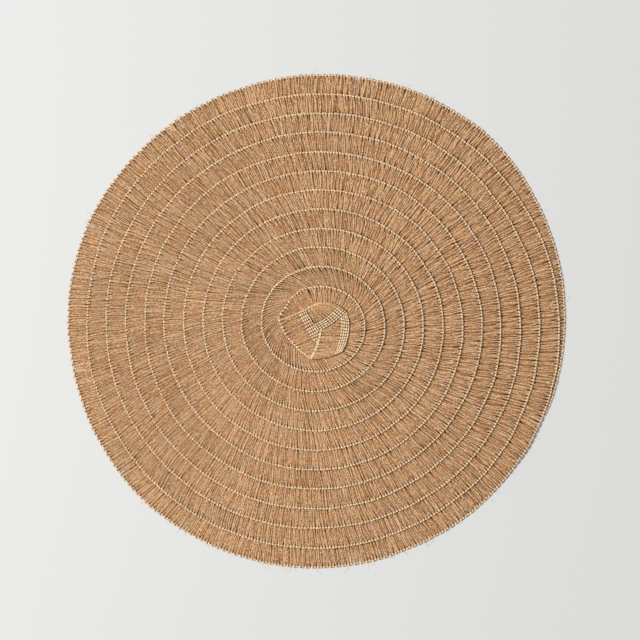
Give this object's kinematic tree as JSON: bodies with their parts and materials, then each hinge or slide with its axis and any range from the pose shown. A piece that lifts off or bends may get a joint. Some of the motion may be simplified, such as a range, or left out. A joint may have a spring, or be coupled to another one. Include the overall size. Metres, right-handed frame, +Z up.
{
  "type": "round placemat",
  "caption": "Round table placemat of a knitted paper-yarn tape with cream chain stitching, coiled flat so that each turn's looped edge lies on the next turn.",
  "frame": {"origin": "centre of the mat's outline on the table, under the folded start", "axes": "+Z up out of the table, through the mat's thickness; +X towards the side where the tape's end tucks in under the rim; the coil runs clockwise seen from +Z"},
  "size_m": [0.3824, 0.379, 0.0044],
  "materials": {
    "paper_yarn": "matt twisted paper yarn, tan",
    "cotton_thread": "matt cream cotton chain stitch"
  },
  "bodies": {
    "root": {"coiled_tape": "paper_yarn"}
  },
  "joints": []
}
